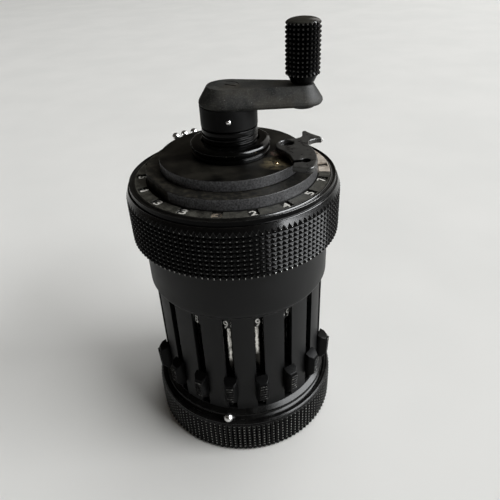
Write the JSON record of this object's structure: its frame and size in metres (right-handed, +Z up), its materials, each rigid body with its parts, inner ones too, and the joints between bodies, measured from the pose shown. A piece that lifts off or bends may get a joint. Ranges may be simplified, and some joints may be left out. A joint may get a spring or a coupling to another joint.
{
  "type": "mechanical calculator",
  "caption": "Hand-cranked pocket calculator: a black cylinder with setting sliders in slots, a knurled carriage with number dials, a clearing lever and a crank on top.",
  "frame": {"origin": "centre of the flat underside, on the crank's axis", "axes": "+Z up along the crank's axis, the setting sliders face -Y, +X to their right"},
  "size_m": [0.053, 0.053, 0.1087],
  "materials": {
    "barrel_black": "satin black coating on aluminium",
    "knurl_black": "black coating worn to bright metal on the knurl's tips",
    "ledge_black": "glossy black coating, handled smooth",
    "cover_black": "black coating with brownish wear",
    "frame_aluminium": "turned aluminium",
    "window_metal": "bare tan metal, worn",
    "dial_black": "black with white digits",
    "dial_pale": "pale with black digits",
    "bright_steel": "polished",
    "slider_black": "black, worn bright on the serrations",
    "crank_charcoal": "matt charcoal with light specks",
    "knob_black": "black knurl with bright tips",
    "lever_black": "black, edges worn bright",
    "marker_silver": "bright"
  },
  "bodies": {
    "root": {"base_cover": "ledge_black", "base_knurled_ring": "knurl_black", "marker_track_ring": "ledge_black", "barrel_housing": "barrel_black", "lower_bearing_plate": "frame_aluminium", "upper_bearing_plate": "frame_aluminium", "frame_pillars": "bright_steel", "central_tube": "frame_aluminium", "transmission_axles": "bright_steel"},
    "bell": {"tens_bell": "frame_aluminium"},
    "crank": {"main_shaft": "bright_steel", "step_drum": "frame_aluminium", "crank_hub": "crank_charcoal", "crank_arm": "crank_charcoal"},
    "knob": {"crank_knob": "knob_black"},
    "sleeve": {"carriage_sleeve": "ledge_black"},
    "carriage": {"carriage_knurled_ring": "knurl_black", "carriage_frame": "frame_aluminium", "carriage_cover": "cover_black", "counter_window_plate": "window_metal"},
    "disc": {"clearing_disc": "cover_black"},
    "lever": {"clearing_lever": "lever_black"},
    "reverser": {"reversing_lever": "slider_black"},
    "base_marker": {"base_decimal_marker": "marker_silver"},
    "marker_1": {"top_decimal_marker_1": "marker_silver"},
    "marker_2": {"top_decimal_marker_2": "marker_silver"},
    "marker_3": {"top_decimal_marker_3": "marker_silver"},
    "slider_1": {"setting_slider_1": "slider_black"},
    "shaft_1": {"setting_shaft_1": "bright_steel"},
    "slider_2": {"setting_slider_2": "slider_black"},
    "shaft_2": {"setting_shaft_2": "bright_steel"},
    "slider_3": {"setting_slider_3": "slider_black"},
    "shaft_3": {"setting_shaft_3": "bright_steel"},
    "slider_4": {"setting_slider_4": "slider_black"},
    "shaft_4": {"setting_shaft_4": "bright_steel"},
    "slider_5": {"setting_slider_5": "slider_black"},
    "shaft_5": {"setting_shaft_5": "bright_steel"},
    "slider_6": {"setting_slider_6": "slider_black"},
    "shaft_6": {"setting_shaft_6": "bright_steel"},
    "slider_7": {"setting_slider_7": "slider_black"},
    "shaft_7": {"setting_shaft_7": "bright_steel"},
    "slider_8": {"setting_slider_8": "slider_black"},
    "shaft_8": {"setting_shaft_8": "bright_steel"},
    "result_1": {"result_dial_01": "dial_black"},
    "result_2": {"result_dial_02": "dial_black"},
    "result_3": {"result_dial_03": "dial_black"},
    "result_4": {"result_dial_04": "dial_black"},
    "result_5": {"result_dial_05": "dial_black"},
    "result_6": {"result_dial_06": "dial_black"},
    "result_7": {"result_dial_07": "dial_black"},
    "result_8": {"result_dial_08": "dial_black"},
    "result_9": {"result_dial_09": "dial_black"},
    "result_10": {"result_dial_10": "dial_black"},
    "result_11": {"result_dial_11": "dial_black"},
    "counter_1": {"counter_dial_1": "dial_pale"},
    "counter_2": {"counter_dial_2": "dial_pale"},
    "counter_3": {"counter_dial_3": "dial_pale"},
    "counter_4": {"counter_dial_4": "dial_pale"},
    "counter_5": {"counter_dial_5": "dial_pale"},
    "counter_6": {"counter_dial_6": "dial_pale"}
  },
  "joints": [
    {"name": "crank_turn", "type": "hinge", "parent": "root", "child": "bell", "pos_m": [0, 0, 0], "axis": [0, 0, 1], "continuous": true},
    {"name": "crank_lift", "type": "slide", "parent": "bell", "child": "crank", "axis": [0, 0, 1], "range_m": [0, 0.00255]},
    {"name": "knob_spin", "type": "hinge", "parent": "crank", "child": "knob", "pos_m": [0.0168, -0.002, 0.1], "axis": [0, 0, 1], "continuous": true},
    {"name": "carriage_lift", "type": "slide", "parent": "root", "child": "sleeve", "axis": [0, 0, 1], "range_m": [0, 0.0028]},
    {"name": "carriage_turn", "type": "hinge", "parent": "sleeve", "child": "carriage", "pos_m": [0, 0, 0.076], "axis": [0, 0, 1], "range_deg": [0, 100]},
    {"name": "clearing_turn", "type": "hinge", "parent": "carriage", "child": "disc", "pos_m": [0, 0, 0.078], "axis": [0, 0, 1], "continuous": true},
    {"name": "lever_fold", "type": "hinge", "parent": "disc", "child": "lever", "pos_m": [0.0134, -0.0005, 0.0803], "axis": [0, 0, 1], "range_deg": [0, 60]},
    {"name": "reverser_slide", "type": "slide", "parent": "root", "child": "reverser", "axis": [0, 0, 1], "range_m": [0, 0.003]},
    {"name": "base_marker_turn", "type": "hinge", "parent": "root", "child": "base_marker", "pos_m": [0, 0, 0.01264], "axis": [0, 0, 1], "continuous": true},
    {"name": "marker_1_turn", "type": "hinge", "parent": "carriage", "child": "marker_1", "pos_m": [0, 0, 0.0768], "axis": [0, 0, 1], "range_deg": [0, 295]},
    {"name": "marker_2_turn", "type": "hinge", "parent": "carriage", "child": "marker_2", "pos_m": [0, 0, 0.0768], "axis": [0, 0, 1], "range_deg": [-1.5, 1.2]},
    {"name": "marker_3_turn", "type": "hinge", "parent": "carriage", "child": "marker_3", "pos_m": [0, 0, 0.0768], "axis": [0, 0, 1], "range_deg": [-295, 0]},
    {"name": "slider_1_slide", "type": "slide", "parent": "root", "child": "slider_1", "axis": [0, 0, 1], "range_m": [0, 0.0153]},
    {"name": "shaft_1_turn", "type": "hinge", "parent": "root", "child": "shaft_1", "pos_m": [0.01774, -0.0059, 0.03], "axis": [0, 0, 1], "range_deg": [-325, 1]},
    {"name": "slider_2_slide", "type": "slide", "parent": "root", "child": "slider_2", "axis": [0, 0, 1], "range_m": [0, 0.0153]},
    {"name": "shaft_2_turn", "type": "hinge", "parent": "root", "child": "shaft_2", "pos_m": [0.01465, -0.01162, 0.03], "axis": [0, 0, 1], "range_deg": [-325, 1]},
    {"name": "slider_3_slide", "type": "slide", "parent": "root", "child": "slider_3", "axis": [0, 0, 1], "range_m": [0, 0.0153]},
    {"name": "shaft_3_turn", "type": "hinge", "parent": "root", "child": "shaft_3", "pos_m": [0.0098, -0.01593, 0.03], "axis": [0, 0, 1], "range_deg": [-325, 1]},
    {"name": "slider_4_slide", "type": "slide", "parent": "root", "child": "slider_4", "axis": [0, 0, 1], "range_m": [0, 0.0153]},
    {"name": "shaft_4_turn", "type": "hinge", "parent": "root", "child": "shaft_4", "pos_m": [0.00376, -0.01832, 0.03], "axis": [0, 0, 1], "range_deg": [-325, 1]},
    {"name": "slider_5_slide", "type": "slide", "parent": "root", "child": "slider_5", "axis": [0, 0, 1], "range_m": [0, 0.0153]},
    {"name": "shaft_5_turn", "type": "hinge", "parent": "root", "child": "shaft_5", "pos_m": [-0.00273, -0.0185, 0.03], "axis": [0, 0, 1], "range_deg": [-325, 1]},
    {"name": "slider_6_slide", "type": "slide", "parent": "root", "child": "slider_6", "axis": [0, 0, 1], "range_m": [0, 0.0153]},
    {"name": "shaft_6_turn", "type": "hinge", "parent": "root", "child": "shaft_6", "pos_m": [-0.00889, -0.01645, 0.03], "axis": [0, 0, 1], "range_deg": [-325, 1]},
    {"name": "slider_7_slide", "type": "slide", "parent": "root", "child": "slider_7", "axis": [0, 0, 1], "range_m": [0, 0.0153]},
    {"name": "shaft_7_turn", "type": "hinge", "parent": "root", "child": "shaft_7", "pos_m": [-0.01398, -0.01242, 0.03], "axis": [0, 0, 1], "range_deg": [-325, 1]},
    {"name": "slider_8_slide", "type": "slide", "parent": "root", "child": "slider_8", "axis": [0, 0, 1], "range_m": [0, 0.0153]},
    {"name": "shaft_8_turn", "type": "hinge", "parent": "root", "child": "shaft_8", "pos_m": [-0.01739, -0.00688, 0.03], "axis": [0, 0, 1], "range_deg": [-325, 1]},
    {"name": "result_dial_1_turn", "type": "hinge", "parent": "carriage", "child": "result_1", "pos_m": [0.02088, -0.00694, 0.0705], "axis": [0.9489, -0.3156, 0], "continuous": true},
    {"name": "result_dial_2_turn", "type": "hinge", "parent": "carriage", "child": "result_2", "pos_m": [0.01724, -0.01367, 0.0705], "axis": [0.7837, -0.6211, 0], "continuous": true},
    {"name": "result_dial_3_turn", "type": "hinge", "parent": "carriage", "child": "result_3", "pos_m": [0.01153, -0.01874, 0.0705], "axis": [0.524, -0.8517, 0], "continuous": true},
    {"name": "result_dial_4_turn", "type": "hinge", "parent": "carriage", "child": "result_4", "pos_m": [0.00442, -0.02155, 0.0705], "axis": [0.2011, -0.9796, 0], "continuous": true},
    {"name": "result_dial_5_turn", "type": "hinge", "parent": "carriage", "child": "result_5", "pos_m": [-0.00321, -0.02176, 0.0705], "axis": [-0.1461, -0.9893, 0], "continuous": true},
    {"name": "result_dial_6_turn", "type": "hinge", "parent": "carriage", "child": "result_6", "pos_m": [-0.01046, -0.01935, 0.0705], "axis": [-0.4756, -0.8796, 0], "continuous": true},
    {"name": "result_dial_7_turn", "type": "hinge", "parent": "carriage", "child": "result_7", "pos_m": [-0.01645, -0.01461, 0.0705], "axis": [-0.7478, -0.6639, 0], "continuous": true},
    {"name": "result_dial_8_turn", "type": "hinge", "parent": "carriage", "child": "result_8", "pos_m": [-0.02046, -0.0081, 0.0705], "axis": [-0.9298, -0.3681, 0], "continuous": true},
    {"name": "result_dial_9_turn", "type": "hinge", "parent": "carriage", "child": "result_9", "pos_m": [-0.02199, -0.00061, 0.0705], "axis": [-0.9996, -0.0279, 0], "continuous": true},
    {"name": "result_dial_10_turn", "type": "hinge", "parent": "carriage", "child": "result_10", "pos_m": [-0.02088, 0.00694, 0.0705], "axis": [-0.9489, 0.3156, 0], "continuous": true},
    {"name": "result_dial_11_turn", "type": "hinge", "parent": "carriage", "child": "result_11", "pos_m": [-0.01724, 0.01367, 0.0705], "axis": [-0.7837, 0.6211, 0], "continuous": true},
    {"name": "counter_dial_1_turn", "type": "hinge", "parent": "carriage", "child": "counter_1", "pos_m": [-0.00442, 0.02155, 0.0705], "axis": [-0.2011, 0.9796, 0], "continuous": true},
    {"name": "counter_dial_2_turn", "type": "hinge", "parent": "carriage", "child": "counter_2", "pos_m": [0.00321, 0.02176, 0.0705], "axis": [0.1461, 0.9893, 0], "continuous": true},
    {"name": "counter_dial_3_turn", "type": "hinge", "parent": "carriage", "child": "counter_3", "pos_m": [0.01046, 0.01935, 0.0705], "axis": [0.4756, 0.8796, 0], "continuous": true},
    {"name": "counter_dial_4_turn", "type": "hinge", "parent": "carriage", "child": "counter_4", "pos_m": [0.01645, 0.01461, 0.0705], "axis": [0.7478, 0.6639, 0], "continuous": true},
    {"name": "counter_dial_5_turn", "type": "hinge", "parent": "carriage", "child": "counter_5", "pos_m": [0.02046, 0.0081, 0.0705], "axis": [0.9298, 0.3681, 0], "continuous": true},
    {"name": "counter_dial_6_turn", "type": "hinge", "parent": "carriage", "child": "counter_6", "pos_m": [0.02199, 0.00061, 0.0705], "axis": [0.9996, 0.0279, 0], "continuous": true}
  ],
  "couplings": [
    {"joint": "shaft_1_turn", "follows": "slider_1_slide", "rad_per_m": -369.6},
    {"joint": "shaft_2_turn", "follows": "slider_2_slide", "rad_per_m": -369.6},
    {"joint": "shaft_3_turn", "follows": "slider_3_slide", "rad_per_m": -369.6},
    {"joint": "shaft_4_turn", "follows": "slider_4_slide", "rad_per_m": -369.6},
    {"joint": "shaft_5_turn", "follows": "slider_5_slide", "rad_per_m": -369.6},
    {"joint": "shaft_6_turn", "follows": "slider_6_slide", "rad_per_m": -369.6},
    {"joint": "shaft_7_turn", "follows": "slider_7_slide", "rad_per_m": -369.6},
    {"joint": "shaft_8_turn", "follows": "slider_8_slide", "rad_per_m": -369.6}
  ]
}
